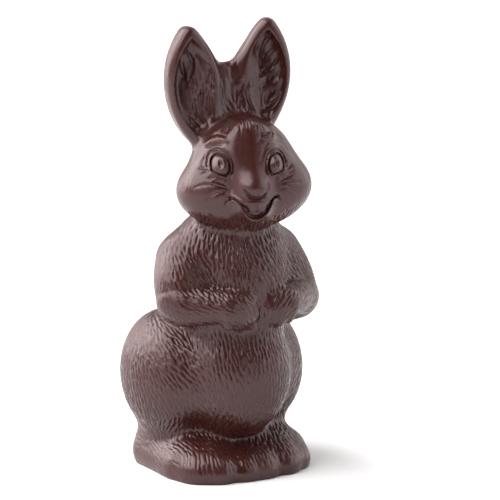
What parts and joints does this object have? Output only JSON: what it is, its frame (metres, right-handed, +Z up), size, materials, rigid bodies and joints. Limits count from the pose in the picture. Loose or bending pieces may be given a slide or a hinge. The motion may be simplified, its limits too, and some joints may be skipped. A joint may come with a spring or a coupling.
{
  "type": "chocolate bunny",
  "caption": "Moulded dark chocolate bunny standing upright, with hollowed ears, a grinning face turned to one side and paws held together on its belly.",
  "frame": {"origin": "middle of the flat base that the bunny stands on", "axes": "+Z up, the bunny's chest faces -Y, +X is its own left side"},
  "size_m": [0.0748, 0.0893, 0.1803],
  "materials": {
    "chocolate": "satin dark chocolate"
  },
  "bodies": {
    "root": {"bunny": "chocolate"}
  },
  "joints": []
}
